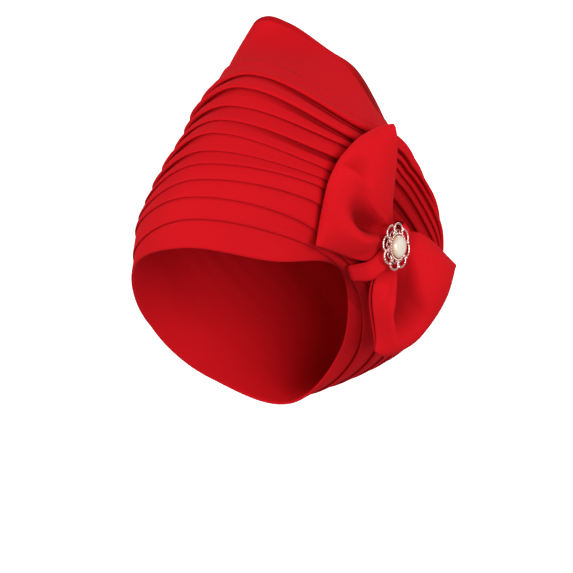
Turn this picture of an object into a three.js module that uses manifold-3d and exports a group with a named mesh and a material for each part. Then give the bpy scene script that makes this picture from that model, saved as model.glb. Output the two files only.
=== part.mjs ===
// Ready-tied head wrap: a pleated cloth crown that leans back to a soft peak, with a two-winged cloth
// bow at the wearer's left, a cloth strap round the bow's waist and a pearl brooch pinned on the strap.
// Millimetres. The front faces -Y, the wearer's left is +X and up is +Z. The origin is on the axis of
// the head, level with the front edge of the brim.
import * as THREE from "three";
import { mergeVertices } from "three/addons/utils/BufferGeometryUtils.js";
import Module from "manifold-3d";

// Driving dimensions
const CLOTH = 2.0; // thickness of the spongy double-knit cloth
const GAP = 0.3; // clearance kept between neighbouring pieces
const COLUMNS = 44; // facets round the crown
const HOOD_BASE = 11; // fold number at which the smooth hood begins
const FRONT_BULGE = 0.22; // how far the hood's front face swells, 1 being a quarter ellipse
const BOW_AZIMUTH = THREE.MathUtils.degToRad(70); // way the bow faces, turned from the front to the left
const BOW_CENTRE = new THREE.Vector3(112, 18, -2);
const WAIST = 0.14; // share of each wing that lies flat under the strap
const WAIST_DEPTH = -7.5; // middle of the bow's waist behind the bow's face
const WING_HALF_GAP = 3.6; // half the distance between a wing's two layers along its middle
const HEM_GAP = 0.4; // share of that gap left at a wing's two hems
const BACK_SWELL = 0.5; // how far a wing's back layer swells
const CREASE_TURN = 0.57; // share of a wing's length inside which its creases sweep sideways
const OUTER_FROM = 0.6; // share of a wing's length at which the creases of its outer part set in
// Factors that bring the curves along a wing's ray to about 1 where each is fullest
const BEND_FULL = 6.75;
const SWELL_FULL = 2.56;
const CREASE_FULL = 3;
const BROOCH = {
  place: [-4.2, -1.2, 3.4], // middle of the base in the bow's frame
  turn: THREE.MathUtils.degToRad(9), // turn of the brooch from the bow's face towards the wearer's back
  boss: 5.5, // radius of the plain boss behind the base
  boss_depth: 2.3,
  petals: 8,
  petal_from: THREE.MathUtils.degToRad(78), // turn of the first petal
  petal_inner: 8,
  petal_outer: 17,
  petal_half_width: 4.9,
  petal_open: 0.03, // share of a petal's loop left open inside the bezel at either end
  wire: 0.75,
  bead_at: 14.9,
  bead: 1.3,
  bead_lift: 0.25, // height of a bead's middle over the middle of the base
  bezel_outer: 9.7,
  bezel_inner: 8.9,
  base: 1.1,
  bezel_height: 2.8,
  chamfer: 0.4, // softened edge of the bezel and of the pearl's foot
  pearl: 8.4,
  pearl_height: 5.4,
  pearl_side: 1, // straight side of the pearl under its dome
};

// Rows of a table as objects that go by the names of its columns.
function table(names, rows) {
  const keys = names.split(" ");
  return rows.map((row) => Object.fromEntries(keys.map((key, i) => [key, row[i]])));
}

// Plan of the crown at some of its folds: the middle of the loop and its reach to each side.
const PLAN = table("fold mid_x mid_y right left front back", [
  [0, 0, 0, 81, 76, 100, 75],
  [1, 1, 4, 79.5, 83, 106, 90],
  [3, 4, 12, 83, 107, 105, 113],
  [5, 8, 20, 79, 117, 101, 127],
  [8, 18, 30, 70.5, 112.5, 84, 127],
  [10, 25, 38, 70.8, 101.5, 71.5, 119],
  [11, 30, 44, 63.5, 87, 65, 108],
]);

// Height of each fold line in eight directions, going round by the wearer's left. Fold 0 is the rim.
const HEIGHTS = table("fold front front_left left back_left back back_right right front_right", [
  [0, -1.5, -11, -20, -83, -128, -108, -65, -17],
  [1, 19, 8.5, -25, -86.5, -122, -94, -38, -4.5],
  [2, 34.5, 20, -28, -86, -118, -82, -18, 12],
  [3, 46.5, 33, -12, -80.5, -114, -70, -2, 21],
  [4, 57.5, 42, 1, -76, -110, -60, 10, 32],
  [5, 66.8, 46, 19, -71.5, -105, -50, 20, 43],
  [6, 79.3, 51.5, 33, -66, -100, -40, 32, 56],
  [7, 88.4, 60, 43, -59, -95, -29, 44, 70.5],
  [8, 98.5, 69, 48, -51, -89, -17, 57, 83.7],
  [9, 111.5, 74, 52, -43, -83, -6, 68, 95],
  [10, 120.5, 83, 55.5, -34, -77, 6, 80, 107],
  [11, 128.5, 89.5, 59.5, -25, -67, 21, 103, 126.5],
]);

// How far each folded edge stands out over the band below it, in four directions.
const ROLLS = table("fold front left back right", [
  [1, 1.5, 2, 1.2, 1.5],
  [2, 1.6, 2, 1.2, 2],
  [3, 1.6, 2, 1.2, 2.2],
  [4, 1.8, 2, 1.2, 2.5],
  [5, 2, 2.2, 1.2, 3.2],
  [6, 2.2, 2.5, 1.2, 4],
  [7, 2.4, 3.6, 1.2, 4.2],
  [8, 2.6, 3, 1.2, 4.2],
  [9, 3, 4, 1.2, 4],
  [10, 3, 4, 1.2, 3.6],
  [11, 0.3, 2.4, 1.2, 1.6],
]);

// Section of one pleat: the deep end of the tuck, the folded edge, the roll and the band above it.
const PLEAT = table("step out", [
  [0.08, 0],
  [-0.05, 0.55],
  [0.06, 1],
  [0.5, 0.55],
]);

// Top edge of the last band, which stands in front of the hood: level over the hood's base and the
// share of its roll.
const LEDGE = table("step out", [
  [-0.15, 0.8],
  [0, 1],
  [0.04, 0],
]);

// Ridge of the hood from its foot at the wearer's right over the peak to its foot at the left.
const CREST = table("along x y z", [
  [0, -23, 27, 129],
  [0.1, -13, 22, 147.4],
  [0.19, 1, 17, 164],
  [0.23, 8.9, 16, 166],
  [0.32, 25.8, 20, 160.5],
  [0.48, 53.5, 30, 140.3],
  [0.58, 66, 40, 130.2],
  [0.67, 73.8, 46, 116.6],
  [0.79, 82.6, 50, 98.6],
  [0.88, 91, 54, 85.5],
  [1, 93, 58, 70],
]);

// Hollow that the bow presses into the crown: a shallow bowl behind the bow's face, with a soft edge.
const PRESS = { depth: 17.3, opening: 0.0025, soft: 8 };

// Wings of the bow, a row per ray from the waist to the outer fold, in the bow's own frame: outward end
// of the ray and swell of the front layer. Creases run from the waist beside the rays, each swept a little
// sideways on its way: how far the front layer rises in them, on their inner and on their outer part.
const UPPER_WING = {
  root_from: [-8.6, -9.2],
  root_to: [9, 8.8],
  bend_from: -4,
  bend_to: -4.5,
  sweep: 0.9,
  rays: table("across out_x out_y out_z puff", [
    [0, -79.6, 1.7, -2.8, 0.5],
    [0.14, -78.9, 15.9, -0.5, 10],
    [0.28, -78.5, 33.7, 4, 12],
    [0.43, -76.6, 49.3, 8, 11.5],
    [0.55, -69.5, 61.9, 10, 11],
    [0.65, -62.4, 69.7, 12, 11],
    [0.72, -55.6, 75.3, 13, 11],
    [0.82, -47.5, 80.3, 15, 10.5],
    [0.9, -37, 84.7, 17, 8.5],
    [1, -26, 86.9, 20, 4],
  ]),
  creases: table("across inner outer", [
    [0, 0, 0],
    [0.1, 3, 0],
    [0.165, 4, 0],
    [0.21, 0, 0],
    [0.26, -8, 0],
    [0.32, -12, 0],
    [0.4, -10.5, 0.5],
    [0.46, -7, 2],
    [0.5, -1, 3.5],
    [0.52, 2.5, 3],
    [0.54, 0.5, -3],
    [0.57, 0, -4],
    [0.62, 0.5, -3],
    [0.7, 1, -1],
    [0.8, 0, 0],
    [1, 0, 0],
  ]),
};
const LOWER_WING = {
  root_from: [-7.5, -11.3],
  root_to: [10.4, 7.4],
  bend_from: 10,
  bend_to: -7,
  sweep: 1,
  rays: table("across out_x out_y out_z puff", [
    [0, 0.1, -78.8, -20, 0.5],
    [0.08, 7.7, -82.1, -19, 10],
    [0.2, 21.8, -79, -17, 10],
    [0.34, 35.6, -71.8, -14, 9],
    [0.46, 45.9, -59.8, -11, 11],
    [0.62, 56.4, -44, -9, 13],
    [0.8, 64, -27.4, -7, 11],
    [1, 72.3, -18.1, -7, 3],
  ]),
  creases: table("across inner outer", [
    [0, 0, 0],
    [0.04, 4, 0],
    [0.075, 3, 0],
    [0.11, -5, 0],
    [0.16, -9, 0],
    [0.25, -10.2, 0],
    [0.34, -9.4, 0],
    [0.4, -7, 0],
    [0.44, 0, 0],
    [0.5, 2.5, 0],
    [0.72, 2, 0],
    [1, 0, 0],
  ]),
};

// Strap in the bow's frame, from the corner of the brim over the bow's waist and in behind it: a point of
// its middle line and the way from there to its lower edge.
const STRAP = table("along x y z half_x half_y half_z", [
  [0, -32.6, -20.4, -16.5, 4.2, -4.9, -1.7],
  [0.13, -29.8, -20, -12.5, 4.2, -5.3, -1.6],
  [0.26, -26.4, -19.4, -7.6, 4, -5.8, -1],
  [0.38, -22.6, -17.9, -3.6, 3.9, -5.7, -0.5],
  [0.48, -16.8, -13.5, -1.2, 3.7, -5.1, 0],
  [0.59, -9.5, -7.6, -1.2, 3.6, -5, 0],
  [0.72, 0, -1.2, -1.2, 4, -4.8, 0],
  [0.84, 11, 9.2, -1.6, 3.4, -3.4, 0],
  [0.93, 14.4, 12.8, -3.8, 2.6, -2.5, 0],
  [1, 15.8, 14.2, -11, 2.2, -2.1, 0],
]);

// Cubic through a column of a table, with the slope at each row taken from its two neighbours.
function cubicAt(rows, by, at, column) {
  const last = rows.length - 1;
  const slope = (i) => {
    const before = rows[Math.max(i - 1, 0)];
    const after = rows[Math.min(i + 1, last)];
    if (i === 0 || i === last) return (after[column] - before[column]) / (after[by] - before[by]);
    const here = rows[i];
    const down = here[by] - before[by];
    const rise = after[by] - here[by];
    const fall = (here[column] - before[column]) / down;
    const climb = (after[column] - here[column]) / rise;
    return (fall * rise + climb * down) / (rise + down);
  };
  let i = 0;
  while (i < last - 1 && at >= rows[i + 1][by]) i += 1;
  const step = rows[i + 1][by] - rows[i][by];
  const t = THREE.MathUtils.clamp((at - rows[i][by]) / step, 0, 1);
  const rise = t * t * (3 - 2 * t);
  const start = t * (1 - t) * (1 - t) * step * slope(i);
  const end = t * t * (t - 1) * step * slope(i + 1);
  return rows[i][column] * (1 - rise) + rows[i + 1][column] * rise + start + end;
}

// Smooth closed curve through values spaced evenly round the head, from the front by the left.
function around(values, angle) {
  const count = values.length;
  const turn = THREE.MathUtils.euclideanModulo((angle / (2 * Math.PI)) * count, count);
  const i = Math.floor(turn);
  const t = turn - i;
  const [a, b, c, d] = [-1, 0, 1, 2].map((step) => values[(i + step + count) % count]);
  return b + 0.5 * t * (c - a + t * (2 * a - 5 * b + 4 * c - d + t * (3 * (b - c) + d - a)));
}

const HEIGHT_NAMES = Object.keys(HEIGHTS[0]).slice(1);
const ROLL_NAMES = Object.keys(ROLLS[0]).slice(1);
const bowFacing = new THREE.Vector3(Math.sin(BOW_AZIMUTH), -Math.cos(BOW_AZIMUTH), 0);

// Point of the smooth crown at an angle round the head and at a fold level: loops up to the hood's
// base, then the hood's two faces rising to the ridge.
function crownPoint(angle, level) {
  const fold = Math.min(level, HOOD_BASE);
  const plan = (column) => cubicAt(PLAN, "fold", fold, column);
  const side = Math.sin(angle);
  const ahead = Math.cos(angle);
  const heights = HEIGHT_NAMES.map((name) => cubicAt(HEIGHTS, "fold", fold, name));
  const point = new THREE.Vector3(
    plan("mid_x") + side * plan(side > 0 ? "left" : "right"),
    plan("mid_y") - ahead * plan(ahead > 0 ? "front" : "back"),
    around(heights, angle),
  );
  const up = THREE.MathUtils.clamp(level - HOOD_BASE, 0, 1);
  if (up > 0) {
    const along = Math.atan2(side, Math.abs(ahead)) / Math.PI + 0.5;
    const backBulge = Math.abs(ahead) ** (side > 0 ? 2 : 1);
    const bulge = ahead < -1e-9 ? backBulge : FRONT_BULGE * ahead * ahead;
    const inward = up + bulge * (1 - Math.cos((up * Math.PI) / 2) - up);
    const upward = up + bulge * (Math.sin((up * Math.PI) / 2) - up);
    point.x += (cubicAt(CREST, "along", along, "x") - point.x) * inward;
    point.y += (cubicAt(CREST, "along", along, "y") - point.y) * inward;
    point.z += (cubicAt(CREST, "along", along, "z") - point.z) * upward;
  }
  const fromBow = point.clone().sub(BOW_CENTRE);
  const proud = fromBow.dot(bowFacing);
  const limit = PRESS.opening * (fromBow.lengthSq() - proud * proud) - PRESS.depth;
  const pressed = (proud + limit - Math.hypot(proud - limit, PRESS.soft)) / 2;
  return point.addScaledVector(bowFacing, pressed - proud);
}

// Outward direction of a surface given by a function of two numbers.
function facing(surface, u, v, du, dv, low, high) {
  const alongU = surface(u + du, v).sub(surface(u - du, v));
  const upper = Math.min(v + dv, high);
  const lower = Math.max(v - dv, low);
  const alongV = surface(u, upper).sub(surface(u, lower));
  return alongU.cross(alongV).normalize();
}

const crownFacing = (angle, level) =>
  facing(crownPoint, angle, Math.min(level, HOOD_BASE + 0.97), 1e-3, 4e-3, 0, HOOD_BASE + 1);

// Height of the folded edge of a pleat at an angle.
function rollAt(fold, angle) {
  const row = ROLLS[fold - 1];
  return around(
    ROLL_NAMES.map((name) => row[name]),
    angle,
  );
}

const BRIM_LEVELS = [0, 0.35, 0.7];
const HOOD_RISES = [0.13, 0.25, 0.38, 0.5, 0.62, 0.74, 0.86, 0.94, 1];
// Levels of the crown's outer rows, each with its fold and the share of the fold's roll it stands out.
function outerRows() {
  const rows = BRIM_LEVELS.map((level) => ({ level, fold: 1, out: 0 }));
  for (let fold = 1; fold < HOOD_BASE; fold += 1)
    for (const { step, out } of PLEAT) rows.push({ level: fold + step, fold, out });
  for (const { step, out } of LEDGE) rows.push({ level: HOOD_BASE + step, fold: HOOD_BASE, out });
  for (const up of HOOD_RISES) rows.push({ level: HOOD_BASE + up, fold: HOOD_BASE, out: 0 });
  return rows;
}

const INNER_LEVELS = [0, 1, 2, 3, 4, 5, 6, 7, 8, 9, 10, 11, 11.2, 11.4, 11.6, 11.8, 11.92, 12];
const angleOf = (column) => -Math.PI + (2 * Math.PI * column) / COLUMNS;
// Column that shares its ridge vertex with a column at the back.
const ridgeMate = (column) => {
  const half = COLUMNS / 2;
  if (column < half / 2) return half - column;
  if (column > half * 1.5) return half + COLUMNS - column;
  return column;
};

function outerPoint(column, { level, fold, out }) {
  const angle = angleOf(column);
  const point = crownPoint(angle, level);
  return point.addScaledVector(crownFacing(angle, level), out * rollAt(fold, angle));
}

function innerPoint(column, level) {
  const angle = angleOf(column);
  const point = crownPoint(angle, level);
  const normal = crownFacing(angle, level);
  if (level < HOOD_BASE + 1) return point.addScaledVector(normal, -CLOTH);
  const across = crownFacing(Math.PI - angle, level);
  const sum = normal.clone().add(across);
  const spread = Math.max(1 + normal.dot(across), 0.4);
  return point.addScaledVector(sum, -CLOTH / spread);
}

// Closed body from rows of points: the rim joins the outer and the inner wall, the ridge closes both.
function crownGeometry() {
  const rows = outerRows();
  const positions = [];
  const faces = [];
  const addWall = (count, pointAt) => {
    const base = positions.length / 3;
    for (let r = 0; r < count; r += 1)
      for (let c = 0; c < COLUMNS; c += 1) positions.push(...pointAt(c, r).toArray());
    const id = (c, r) => {
      const column = (c + COLUMNS) % COLUMNS;
      return base + r * COLUMNS + (r === count - 1 ? ridgeMate(column) : column);
    };
    return id;
  };
  const outer = addWall(rows.length, (c, r) => outerPoint(c, rows[r]));
  const inner = addWall(INNER_LEVELS.length, (c, r) => innerPoint(c, INNER_LEVELS[r]));
  const quad = (a, b, c, d) => {
    if (a !== b && b !== c && a !== c) faces.push(a, b, c);
    if (a !== c && c !== d && a !== d) faces.push(a, c, d);
  };
  for (let c = 0; c < COLUMNS; c += 1) {
    for (let r = 0; r + 1 < rows.length; r += 1)
      quad(outer(c, r), outer(c + 1, r), outer(c + 1, r + 1), outer(c, r + 1));
    for (let r = 0; r + 1 < INNER_LEVELS.length; r += 1)
      quad(inner(c + 1, r), inner(c, r), inner(c, r + 1), inner(c + 1, r + 1));
    quad(inner(c, 0), inner(c + 1, 0), outer(c + 1, 0), outer(c, 0));
  }
  return meshFrom(positions, faces);
}

function meshFrom(positions, faces) {
  const geometry = new THREE.BufferGeometry();
  geometry.setAttribute("position", new THREE.Float32BufferAttribute(positions, 3));
  geometry.setIndex(faces);
  const merged = mergeVertices(geometry.toNonIndexed(), 1e-4);
  merged.computeVertexNormals();
  return merged;
}

// Closed sheet of cloth round a middle surface, with its two faces half a thickness to either side.
function sheetGeometry(surface, us, vs, thickness) {
  const positions = [];
  const faces = [];
  const point = (u, v, side) => {
    const alongU = surface(u + 1e-3, v).sub(surface(u - 1e-3, v));
    const alongV = surface(u, Math.min(v + 1e-3, 1)).sub(surface(u, Math.max(v - 1e-3, 0)));
    const normal = alongU.cross(alongV).normalize();
    return surface(u, v).addScaledVector(normal, (side * thickness) / 2);
  };
  for (const side of [1, -1])
    for (const v of vs)
      for (const u of us) positions.push(...point(u, v, side).toArray());
  const id = (i, j, side) => side * us.length * vs.length + j * us.length + i;
  const quad = (a, b, c, d) => faces.push(a, b, c, a, c, d);
  const lastU = us.length - 1;
  const lastV = vs.length - 1;
  for (let i = 0; i < lastU; i += 1) {
    for (let j = 0; j < lastV; j += 1) {
      quad(id(i, j, 0), id(i + 1, j, 0), id(i + 1, j + 1, 0), id(i, j + 1, 0));
      quad(id(i, j, 1), id(i, j + 1, 1), id(i + 1, j + 1, 1), id(i + 1, j, 1));
    }
    quad(id(i, 0, 0), id(i, 0, 1), id(i + 1, 0, 1), id(i + 1, 0, 0));
    quad(id(i, lastV, 0), id(i + 1, lastV, 0), id(i + 1, lastV, 1), id(i, lastV, 1));
  }
  for (let j = 0; j < lastV; j += 1) {
    quad(id(0, j, 0), id(0, j + 1, 0), id(0, j + 1, 1), id(0, j, 1));
    quad(id(lastU, j, 0), id(lastU, j, 1), id(lastU, j + 1, 1), id(lastU, j + 1, 0));
  }
  return meshFrom(positions, faces);
}

// Middle surface of a wing: out along the front layer, round the outer fold and back to the waist.
function wingSurface(wing) {
  return (across, round) => {
    const ray = (column) => cubicAt(wing.rays, "across", across, column);
    const rootX = THREE.MathUtils.lerp(wing.root_from[0], wing.root_to[0], across);
    const rootY = THREE.MathUtils.lerp(wing.root_from[1], wing.root_to[1], across);
    const front = round <= 0.5;
    const t = front ? 2 * round : 2 - 2 * round;
    const reach = 1 - (1 - t) ** 2;
    const dx = ray("out_x") - rootX;
    const dy = ray("out_y") - rootY;
    const length = Math.hypot(dx, dy);
    const sideways = BEND_FULL * reach * (1 - reach) ** 2;
    const bend = THREE.MathUtils.lerp(wing.bend_from, wing.bend_to, across) * sideways;
    const free = Math.max(0, (reach - WAIST) / (1 - WAIST));
    const broad = SWELL_FULL * free * Math.sqrt(1 - free);
    const inner = CREASE_FULL * free ** 0.75 * (1 - free * free) ** 2.5;
    const beyond = THREE.MathUtils.clamp((free - OUTER_FROM) / (1 - OUTER_FROM), 0, 1);
    const outer = Math.sin(Math.PI * beyond ** 1.5);
    const middleness = Math.sqrt(Math.sin(Math.PI * THREE.MathUtils.clamp(across, 0, 1)));
    const open = HEM_GAP + (1 - HEM_GAP) * middleness;
    const lip = WING_HALF_GAP * open * (1 - t) * Math.sqrt(1 + reach);
    const middle = THREE.MathUtils.lerp(WAIST_DEPTH, ray("out_z"), free);
    const swept = across - wing.sweep * Math.max(0, CREASE_TURN - free) ** 2;
    const rise = (column) => cubicAt(wing.creases, "across", swept, column);
    const crease = rise("inner") * inner + rise("outer") * outer;
    const off = front ? lip + ray("puff") * broad + crease : -lip - BACK_SWELL * broad;
    return new THREE.Vector3(
      rootX + dx * reach + (bend * dy) / length,
      rootY + dy * reach - (bend * dx) / length,
      middle + off,
    );
  };
}

// Middle surface of the strap: its middle line, moved to either edge.
function strapSurface(across, along) {
  const at = (names) => new THREE.Vector3(...names.map((name) => cubicAt(STRAP, "along", along, name)));
  return at(["x", "y", "z"]).addScaledVector(at(["half_x", "half_y", "half_z"]), 2 * across - 1);
}

const spaced = (count) => Array.from({ length: count + 1 }, (_, i) => i / count);
const wasm = await Module();
wasm.setup();

// Solid of a closed geometry, ready to be joined with others.
function solidOf(geometry) {
  const bare = geometry.clone();
  bare.deleteAttribute("normal");
  bare.deleteAttribute("uv");
  const merged = mergeVertices(bare, 1e-4);
  return new wasm.Manifold(
    new wasm.Mesh({
      numProp: 3,
      vertProperties: new Float32Array(merged.attributes.position.array),
      triVerts: new Uint32Array(merged.index.array),
    }),
  );
}

function geometryOf(solid) {
  const made = solid.getMesh();
  const geometry = new THREE.BufferGeometry();
  const positions = new Float32Array(made.numVert * 3);
  for (let i = 0; i < made.numVert; i += 1)
    for (let k = 0; k < 3; k += 1) positions[3 * i + k] = made.vertProperties[made.numProp * i + k];
  geometry.setAttribute("position", new THREE.BufferAttribute(positions, 3));
  geometry.setIndex(new THREE.BufferAttribute(new Uint32Array(made.triVerts), 1));
  geometry.computeVertexNormals();
  return geometry;
}

// A turned profile about the brooch's axis, which is its local Z.
function turned(profile, sides) {
  const points = profile.map(([radius, height]) => new THREE.Vector2(radius, height));
  return new THREE.LatheGeometry(points, sides).rotateX(Math.PI / 2);
}

// One petal: a wire loop that starts and ends inside the bezel.
function petalGeometry(turn) {
  const middle = (BROOCH.petal_inner + BROOCH.petal_outer) / 2;
  const reach = (BROOCH.petal_outer - BROOCH.petal_inner) / 2;
  const points = spaced(12).map((share) => {
    const angle = 2 * Math.PI * THREE.MathUtils.lerp(BROOCH.petal_open, 1 - BROOCH.petal_open, share);
    const radial = middle - reach * Math.cos(angle);
    const sideways = BROOCH.petal_half_width * Math.sin(angle);
    const x = radial * Math.cos(turn) - sideways * Math.sin(turn);
    const y = radial * Math.sin(turn) + sideways * Math.cos(turn);
    return new THREE.Vector3(x, y, BROOCH.base - BROOCH.wire);
  });
  const section = new THREE.Shape(
    spaced(5)
      .slice(0, 5)
      .map((share) => new THREE.Vector2(Math.cos(2 * Math.PI * share), Math.sin(2 * Math.PI * share)))
      .map((corner) => corner.multiplyScalar(BROOCH.wire)),
  );
  const path = new THREE.CatmullRomCurve3(points);
  return new THREE.ExtrudeGeometry(section, { steps: 11, bevelEnabled: false, extrudePath: path });
}

// Setting of the brooch: base and bezel of the pearl, open petals and a bead between each pair.
function settingGeometry() {
  const { base, boss, boss_depth, bezel_outer, bezel_inner, bezel_height, chamfer } = BROOCH;
  const { petals, petal_from, bead, bead_at, bead_lift } = BROOCH;
  const cup = [
    [0, -boss_depth],
    [boss, -boss_depth],
    [boss, 0],
    [bezel_outer, 0],
    [bezel_outer, bezel_height - chamfer],
    [(bezel_outer + bezel_inner) / 2, bezel_height],
    [bezel_inner, bezel_height - chamfer],
    [bezel_inner, base],
    [0, base],
  ];
  let solid = solidOf(turned(cup, 24));
  for (let i = 0; i < petals; i += 1) {
    const turn = (2 * Math.PI * i) / petals + petal_from;
    solid = solid.add(solidOf(petalGeometry(turn)));
    const between = turn + Math.PI / petals;
    const ball = new THREE.OctahedronGeometry(bead, 1);
    ball.translate(bead_at * Math.cos(between), bead_at * Math.sin(between), base / 2 + bead_lift);
    solid = solid.add(solidOf(ball));
  }
  return geometryOf(solid);
}

// Half-pearl with a flat back, standing clear of the cup.
function pearlGeometry() {
  const { pearl, pearl_height, pearl_side, base, chamfer } = BROOCH;
  const foot = base + GAP;
  const dome = [0, 0.16, 0.32, 0.48, 0.64, 0.8, 0.92, 1].map((share) => {
    const angle = (share * Math.PI) / 2;
    return [pearl * Math.cos(angle), foot + pearl_side + (pearl_height - pearl_side) * Math.sin(angle)];
  });
  dome[dome.length - 1][0] = 0;
  return turned([[0, foot], [pearl - chamfer, foot], ...dome], 24);
}

const cloth = (color) => new THREE.MeshStandardMaterial({ color, roughness: 0.85, metalness: 0 });

function piece(name, geometry, material) {
  const mesh = new THREE.Mesh(geometry, material);
  mesh.name = name;
  return mesh;
}

const headWrap = new THREE.Group();
headWrap.add(piece("pleated_crown", crownGeometry(), cloth(0xcb0f19)));

const bow = new THREE.Group();
const bowRight = new THREE.Vector3(Math.cos(BOW_AZIMUTH), Math.sin(BOW_AZIMUTH), 0);
const bowUp = new THREE.Vector3(0, 0, 1);
bow.position.copy(BOW_CENTRE);
bow.quaternion.setFromRotationMatrix(new THREE.Matrix4().makeBasis(bowRight, bowUp, bowFacing));
headWrap.add(bow);

// Places of the rows of facets round a wing, closer together at the waist and at the outer fold.
const frontRows = [0, 0.036, 0.07, 0.11, 0.16, 0.22, 0.29, 0.36, 0.43, 0.475, 0.5];
const backRows = [0.54, 0.62, 0.73, 0.84, 0.95, 1];
const roundRows = [...frontRows, ...backRows];
const upper = sheetGeometry(wingSurface(UPPER_WING), spaced(20), roundRows, CLOTH);
const lower = sheetGeometry(wingSurface(LOWER_WING), spaced(20), roundRows, CLOTH);
const strap = sheetGeometry(strapSurface, spaced(2), spaced(20), CLOTH);
bow.add(piece("bow_upper_wing", upper, cloth(0xcc1620)));
bow.add(piece("bow_lower_wing", lower, cloth(0xc8141e)));
bow.add(piece("knot_strap", strap, cloth(0xc6121b)));

const brooch = new THREE.Group();
brooch.position.set(...BROOCH.place);
brooch.rotation.y = BROOCH.turn;
bow.add(brooch);
const metal = new THREE.MeshStandardMaterial({ color: 0xc9a793, roughness: 0.3, metalness: 1 });
const pearlSkin = new THREE.MeshStandardMaterial({ color: 0xf2e0c8, roughness: 0.25, metalness: 0 });
brooch.add(piece("brooch_setting", settingGeometry(), metal));
brooch.add(piece("brooch_pearl", pearlGeometry(), pearlSkin));

export default headWrap;
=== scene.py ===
import bpy
import numpy as np
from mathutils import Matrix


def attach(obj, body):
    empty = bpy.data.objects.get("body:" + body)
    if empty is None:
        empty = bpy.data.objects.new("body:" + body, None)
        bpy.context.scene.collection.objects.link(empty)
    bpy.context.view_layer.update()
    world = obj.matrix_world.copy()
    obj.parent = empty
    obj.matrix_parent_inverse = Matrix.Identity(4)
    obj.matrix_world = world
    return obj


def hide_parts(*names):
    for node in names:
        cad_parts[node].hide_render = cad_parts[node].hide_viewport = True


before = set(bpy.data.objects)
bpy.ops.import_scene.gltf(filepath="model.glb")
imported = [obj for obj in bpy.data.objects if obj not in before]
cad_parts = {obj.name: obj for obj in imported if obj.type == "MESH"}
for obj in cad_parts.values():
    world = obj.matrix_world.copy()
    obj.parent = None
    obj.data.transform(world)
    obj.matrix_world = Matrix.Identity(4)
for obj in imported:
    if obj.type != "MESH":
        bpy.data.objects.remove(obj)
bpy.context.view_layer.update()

# Crown: one length of spongy red double knit, joined to a tube at the back and laid in ten knife pleats
# round the head. Above the pleats the cloth is left smooth as a hood and is sewn shut along its ridge.
# All sizes are in millimetres until a mesh is made.
MM = 0.001
CLOTH = 2.0
HOOD_BASE = 11
FRONT_BULGE = 0.22
COLUMNS = 336
BRIM_ROWS, PLEAT_ROWS, LAST_PLEAT_ROWS = 14, 15, 11
MEAN_RADIUS = 95
# fold, middle x, middle y, reach to the right, left, front and back
PLAN = np.array([
    [0, 0, 0, 81, 76, 100, 75],
    [1, 1, 4, 79.5, 83, 106, 90],
    [3, 4, 12, 83, 107, 105, 113],
    [5, 8, 20, 79, 117, 101, 127],
    [8, 18, 30, 70.5, 112.5, 84, 127],
    [10, 25, 38, 70.8, 101.5, 71.5, 119],
    [11, 30, 44, 63.5, 87, 65, 108],
])
# fold, then its height at the front, front left, left, back left, back, back right, right, front right
HEIGHTS = np.array([
    [0, -1.5, -11, -20, -83, -128, -108, -65, -17],
    [1, 19, 8.5, -25, -86.5, -122, -94, -38, -4.5],
    [2, 34.5, 20, -28, -86, -118, -82, -18, 12],
    [3, 46.5, 33, -12, -80.5, -114, -70, -2, 21],
    [4, 57.5, 42, 1, -76, -110, -60, 10, 32],
    [5, 66.8, 46, 19, -71.5, -105, -50, 20, 43],
    [6, 79.3, 51.5, 33, -66, -100, -40, 32, 56],
    [7, 88.4, 60, 43, -59, -95, -29, 44, 70.5],
    [8, 98.5, 69, 48, -51, -89, -17, 57, 83.7],
    [9, 111.5, 74, 52, -43, -83, -6, 68, 95],
    [10, 120.5, 83, 55.5, -34, -77, 6, 80, 107],
    [11, 128.5, 89.5, 59.5, -25, -67, 21, 103, 126.5],
])
# fold, then how far its edge stands out over the band below, in the same eight directions
ROLLS = np.array([
    [1, 1, 1.1, 1.8, 1.6, 1.2, 1.2, 1.2, 1.1],
    [2, 1, 1.2, 1.8, 1.6, 1.2, 1.3, 1.4, 1.1],
    [3, 1, 1.3, 1.8, 1.6, 1.2, 1.4, 1.5, 1.2],
    [4, 1.1, 1.3, 1.8, 1.6, 1.2, 1.5, 1.8, 1.4],
    [5, 1.1, 1.3, 2, 1.7, 1.2, 1.8, 2.6, 2.5],
    [6, 1.2, 1.6, 2.2, 1.8, 1.2, 2, 3.2, 3],
    [7, 1.3, 2.6, 3.2, 2, 1.2, 2, 3, 2.4],
    [8, 1.4, 1.8, 2.6, 2, 1.2, 2, 3.2, 3.2],
    [9, 1.9, 3.8, 4, 2.2, 1.2, 2, 3.4, 3.8],
    [10, 1.7, 4, 4, 2.2, 1.2, 2, 3.2, 3.4],
    [11, 0.1, 2.4, 3, 1.8, 1.2, 1.2, 1.6, 1.2],
])
# fold, then how deep the band below it falls in under its edge, in the same eight directions
GAPES = np.array([
    [1, 0.1, 0.1, 0.6, 0.4, 0.2, 0.2, 0.2, 0.1],
    [2, 0.1, 0.2, 0.8, 0.6, 0.2, 0.2, 0.2, 0.1],
    [3, 0.1, 0.4, 0.8, 0.6, 0.2, 0.2, 0.4, 0.3],
    [4, 0.1, 0.4, 0.8, 0.6, 0.2, 0.3, 0.6, 0.5],
    [5, 0.1, 0.4, 6, 0.6, 0.2, 0.5, 2.4, 4],
    [6, 0.1, 0.6, 6, 0.6, 0.2, 0.5, 3, 5],
    [7, 0.1, 4, 2, 0.8, 0.2, 0.5, 1.4, 1.6],
    [8, 0.2, 0.8, 1, 0.8, 0.2, 0.5, 2.6, 4],
    [9, 0.8, 5.5, 2.5, 1, 0.2, 0.5, 3, 5.5],
    [10, 0.5, 6, 3, 1, 0.2, 0.5, 2.6, 4.5],
])
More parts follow.
